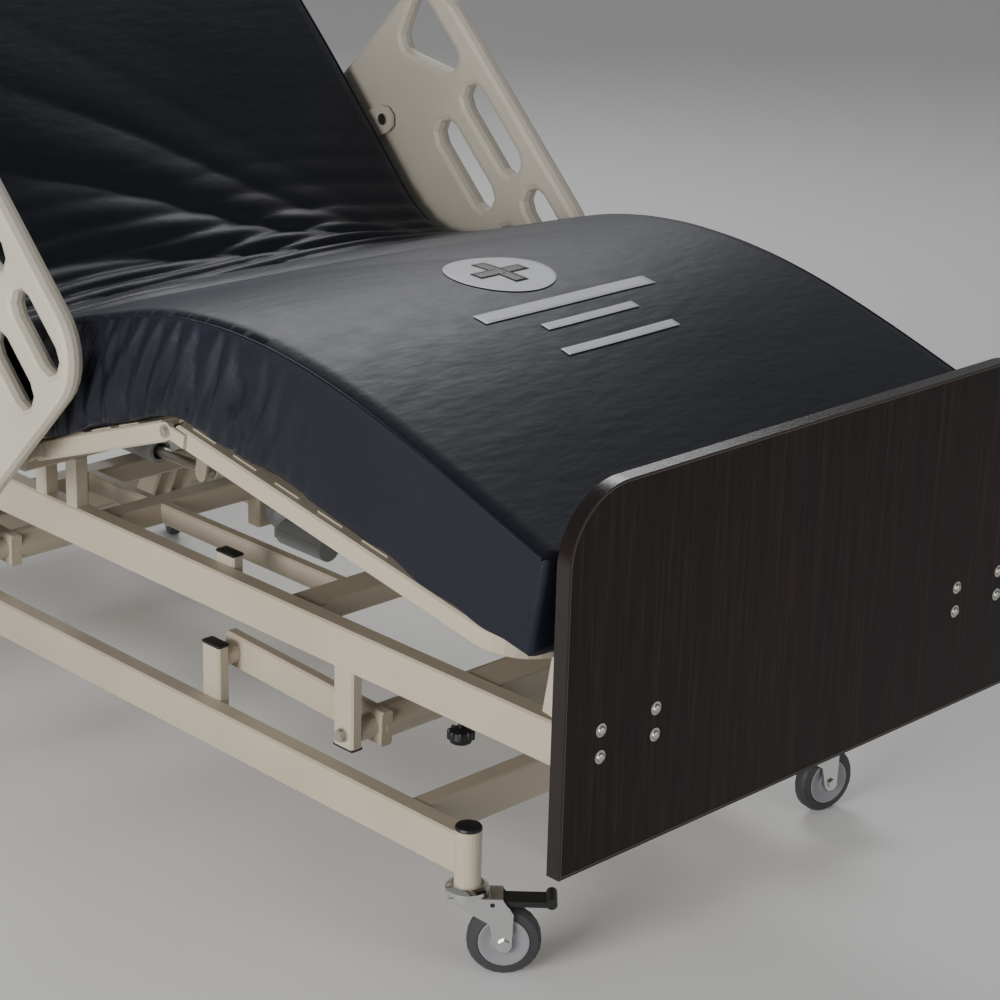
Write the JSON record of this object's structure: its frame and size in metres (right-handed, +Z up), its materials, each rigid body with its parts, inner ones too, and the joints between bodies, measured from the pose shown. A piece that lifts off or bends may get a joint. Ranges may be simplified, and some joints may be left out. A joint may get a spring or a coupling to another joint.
{
  "type": "adjustable hospital bed",
  "caption": "Adjustable hospital bed with a folding deck and mattress, lift arms, wooden end boards, drop-down assist rails and swivel casters",
  "frame": {"origin": "Centre of the whole bed's box on the floor, in the pose it is modelled in", "axes": "+Z up, +Y toward the head end, +X toward the right-hand side seen from the foot end"},
  "size_m": [1.0366, 2.092, 1.1921],
  "materials": {
    "beige_powder_coat": "satin",
    "dark_wood": "satin",
    "navy_cover": "satin",
    "zinc_steel": "satin",
    "caster_chrome": "polished",
    "grey_wheel": "matte",
    "black_plastic": "satin",
    "grey_housing": "matte",
    "moulded_rail": "satin"
  },
  "bodies": {
    "base": {"base_frame": "beige_powder_coat", "arm_bolt_foot_left": "zinc_steel", "arm_bolt_foot_right": "zinc_steel", "arm_bolt_head_left": "zinc_steel", "arm_bolt_head_right": "zinc_steel", "caster_head_foot_left": "caster_chrome", "caster_head_foot_right": "caster_chrome", "caster_head_head_left": "caster_chrome", "caster_head_head_right": "caster_chrome"},
    "foot_crank": {"foot_crank": "beige_powder_coat"},
    "head_crank": {"head_crank": "beige_powder_coat"},
    "lift_link": {"lift_link": "beige_powder_coat"},
    "mid_frame": {"upper_frame": "beige_powder_coat", "footboard": "dark_wood", "headboard": "dark_wood", "control_box": "grey_housing", "lift_motor": "grey_housing", "back_motor": "grey_housing", "knee_motor": "grey_housing", "seat_section": "beige_powder_coat", "mattress_seat": "navy_cover", "frame_bolt_foot_left": "zinc_steel", "frame_bolt_foot_right": "zinc_steel", "frame_bolt_head_left": "zinc_steel", "frame_bolt_head_right": "zinc_steel", "clamp_knob_left": "black_plastic", "clamp_knob_right": "black_plastic", "thigh_hinge_pin_left": "zinc_steel", "thigh_hinge_pin_right": "zinc_steel", "back_hinge_pin_left": "zinc_steel", "back_hinge_pin_right": "zinc_steel"},
    "lift_rod": {"lift_motor_rod": "zinc_steel"},
    "back_rod": {"back_motor_rod": "zinc_steel"},
    "knee_rod": {"knee_motor_rod": "zinc_steel"},
    "thigh": {"thigh_section": "beige_powder_coat", "mattress_thigh": "navy_cover", "knee_hinge_pin_left": "zinc_steel", "knee_hinge_pin_right": "zinc_steel"},
    "calf": {"calf_section": "beige_powder_coat", "mattress_calf": "navy_cover"},
    "back_section": {"back_section": "beige_powder_coat", "mattress_back": "navy_cover", "assist_bracket_left": "moulded_rail", "assist_bracket_right": "moulded_rail", "assist_bolt_left": "zinc_steel", "assist_bolt_right": "zinc_steel"},
    "assist_rail_left": {"assist_rail_left": "moulded_rail"},
    "assist_rail_right": {"assist_rail_right": "moulded_rail"},
    "fork_foot_left": {"caster_fork_foot_left": "caster_chrome"},
    "wheel_foot_left": {"caster_wheel_foot_left": "grey_wheel"},
    "fork_foot_right": {"caster_fork_foot_right": "caster_chrome"},
    "wheel_foot_right": {"caster_wheel_foot_right": "grey_wheel"},
    "fork_head_left": {"caster_fork_head_left": "caster_chrome"},
    "wheel_head_left": {"caster_wheel_head_left": "grey_wheel"},
    "fork_head_right": {"caster_fork_head_right": "caster_chrome"},
    "wheel_head_right": {"caster_wheel_head_right": "grey_wheel"},
    "pedal_left": {"brake_pedal_foot_left": "black_plastic"},
    "pedal_right": {"brake_pedal_foot_right": "black_plastic"}
  },
  "joints": [
    {"name": "lift_foot", "type": "hinge", "parent": "base", "child": "foot_crank", "pos_m": [0, -0.2055, 0.2655], "axis": [-1, 0, 0], "range_deg": [-4, 55]},
    {"name": "lift_head", "type": "hinge", "parent": "base", "child": "head_crank", "pos_m": [0, 0.6945, 0.2655], "axis": [-1, 0, 0], "range_deg": [-4.5, 55.5]},
    {"name": "frame_level", "type": "hinge", "parent": "foot_crank", "child": "mid_frame", "pos_m": [0, -0.50904, 0.25299], "axis": [-1, 0, 0], "range_deg": [-55.5, 4.5]},
    {"name": "lift_link_level", "type": "hinge", "parent": "foot_crank", "child": "lift_link", "pos_m": [0, -0.55209, 0.34325], "axis": [-1, 0, 0], "range_deg": [-55.5, 4.5]},
    {"name": "lift_rod_slide", "type": "slide", "parent": "mid_frame", "child": "lift_rod", "axis": [0, 1, 0], "range_m": [-0.0075, 0.0945]},
    {"name": "back_hinge", "type": "hinge", "parent": "mid_frame", "child": "back_section", "pos_m": [0, 0.264, 0.531], "axis": [1, 0, 0], "range_deg": [-45, 20]},
    {"name": "back_rod_slide", "type": "slide", "parent": "mid_frame", "child": "back_rod", "axis": [0, 1, 0], "range_m": [-0.076, 0.034]},
    {"name": "thigh_hinge", "type": "hinge", "parent": "mid_frame", "child": "thigh", "pos_m": [0, 0.076, 0.531], "axis": [-1, 0, 0], "range_deg": [-19.5, 10.5]},
    {"name": "knee_hinge", "type": "hinge", "parent": "thigh", "child": "calf", "pos_m": [0, -0.26335, 0.65117], "axis": [-1, 0, 0], "range_deg": [-16.2, 29.8]},
    {"name": "knee_rod_slide", "type": "slide", "parent": "mid_frame", "child": "knee_rod", "axis": [0, -1, 0], "range_m": [-0.0345, 0.0189]},
    {"name": "assist_rail_left_drop", "type": "hinge", "parent": "back_section", "child": "assist_rail_left", "pos_m": [-0.5, 0.33471, 0.87041], "axis": [1, 0, 0], "range_deg": [0, 95]},
    {"name": "assist_rail_right_drop", "type": "hinge", "parent": "back_section", "child": "assist_rail_right", "pos_m": [0.5, 0.33471, 0.87041], "axis": [1, 0, 0], "range_deg": [0, 95]},
    {"name": "swivel_foot_left", "type": "hinge", "parent": "base", "child": "fork_foot_left", "pos_m": [-0.343, -0.766, 0.117], "axis": [0, 0, 1], "continuous": true},
    {"name": "spin_foot_left", "type": "hinge", "parent": "fork_foot_left", "child": "wheel_foot_left", "pos_m": [-0.3074, -0.80111, 0.05], "axis": [0.7021, 0.712, 0], "continuous": true},
    {"name": "pedal_left_press", "type": "hinge", "parent": "fork_foot_left", "child": "pedal_left", "pos_m": [-0.31879, -0.78987, 0.1085], "axis": [0.7021, 0.712, 0], "range_deg": [0, 8]},
    {"name": "swivel_foot_right", "type": "hinge", "parent": "base", "child": "fork_foot_right", "pos_m": [0.343, -0.766, 0.117], "axis": [0, 0, 1], "continuous": true},
    {"name": "spin_foot_right", "type": "hinge", "parent": "fork_foot_right", "child": "wheel_foot_right", "pos_m": [0.39218, -0.77503, 0.05], "axis": [0.1805, 0.9836, 0], "continuous": true},
    {"name": "pedal_right_press", "type": "hinge", "parent": "fork_foot_right", "child": "pedal_right", "pos_m": [0.37644, -0.77214, 0.1085], "axis": [0.1805, 0.9836, 0], "range_deg": [0, 8]},
    {"name": "swivel_head_left", "type": "hinge", "parent": "base", "child": "fork_head_left", "pos_m": [-0.343, 0.766, 0.117], "axis": [0, 0, 1], "continuous": true},
    {"name": "spin_head_left", "type": "hinge", "parent": "fork_head_left", "child": "wheel_head_left", "pos_m": [-0.36647, 0.81015, 0.05], "axis": [-0.8829, -0.4695, 0], "continuous": true},
    {"name": "swivel_head_right", "type": "hinge", "parent": "base", "child": "fork_head_right", "pos_m": [0.343, 0.766, 0.117], "axis": [0, 0, 1], "continuous": true},
    {"name": "spin_head_right", "type": "hinge", "parent": "fork_head_right", "child": "wheel_head_right", "pos_m": [0.36492, 0.81094, 0.05], "axis": [-0.8988, 0.4384, 0], "continuous": true}
  ],
  "couplings": [
    {"joint": "lift_head", "follows": "lift_foot", "ratio": 1},
    {"joint": "frame_level", "follows": "lift_foot", "ratio": -1},
    {"joint": "lift_link_level", "follows": "lift_foot", "ratio": -1},
    {"joint": "lift_rod_slide", "follows": "lift_foot", "m_per_rad": 0.097},
    {"joint": "back_rod_slide", "follows": "back_hinge", "m_per_rad": 0.0955},
    {"joint": "knee_hinge", "follows": "thigh_hinge", "ratio": -1.51},
    {"joint": "knee_rod_slide", "follows": "thigh_hinge", "m_per_rad": 0.0993}
  ]
}
